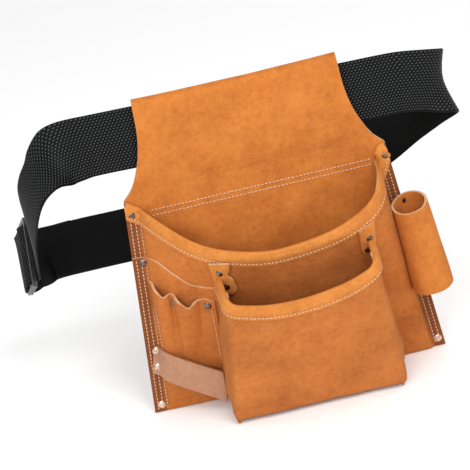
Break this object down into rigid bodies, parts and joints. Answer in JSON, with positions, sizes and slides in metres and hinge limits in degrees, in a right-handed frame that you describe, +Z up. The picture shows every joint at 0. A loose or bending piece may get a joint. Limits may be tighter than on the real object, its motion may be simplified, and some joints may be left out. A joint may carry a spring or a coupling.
{
  "type": "tool belt",
  "caption": "Suede leather carpenter's nail and tool pouch with a small riveted bag on its front, hanging on a buckled black webbing waist belt.",
  "frame": {"origin": "middle of the webbing where it runs straight through the pouch's belt fold, halfway between the pouch's two sides", "axes": "+Z up as worn, -Y away from the wearer on the side the pockets face, +X along the webbing to a viewer's right when looking at the pocket mouths"},
  "size_m": [0.3816, 0.1894, 0.268],
  "materials": {
    "suede": "napped split leather",
    "trim_leather": "napped split leather, thinner",
    "strap_leather": "smooth",
    "webbing": "woven polypropylene",
    "rivet_metal": "nickel plated",
    "buckle_metal": "plated",
    "buckle_enamel": "gloss"
  },
  "bodies": {
    "belt": {"belt_webbing": "webbing", "buckle_frame": "buckle_enamel", "buckle_fixed_bar": "buckle_metal"},
    "lock_bar": {"buckle_lock_bar": "buckle_metal"},
    "pouch": {"back_panel": "suede", "main_pocket_front": "suede", "main_pocket_binding": "trim_leather", "left_pocket": "suede", "nail_set_pocket": "suede", "tool_strap": "strap_leather", "bag_front": "suede", "bag_gusset": "suede", "bag_binding": "trim_leather", "bag_tab_left": "trim_leather", "bag_tab_right": "trim_leather", "tool_tube": "suede", "mouth_rivets": "rivet_metal", "left_pocket_rivet": "rivet_metal", "corner_rivets": "rivet_metal", "nail_set_rivets": "rivet_metal", "strap_rivets": "rivet_metal", "bag_tab_rivets": "rivet_metal", "bag_inner_rivets": "rivet_metal", "tube_rivet": "rivet_metal"}
  },
  "joints": [
    {"name": "pouch_slide", "type": "slide", "parent": "belt", "child": "pouch", "axis": [0.9996, 0, -0.028], "range_m": [-0.03, 0.03]},
    {"name": "lock_bar_slide", "type": "slide", "parent": "belt", "child": "lock_bar", "axis": [-0.3079, 0.7528, -0.5818], "range_m": [-0.0014, 0.0014]}
  ]
}
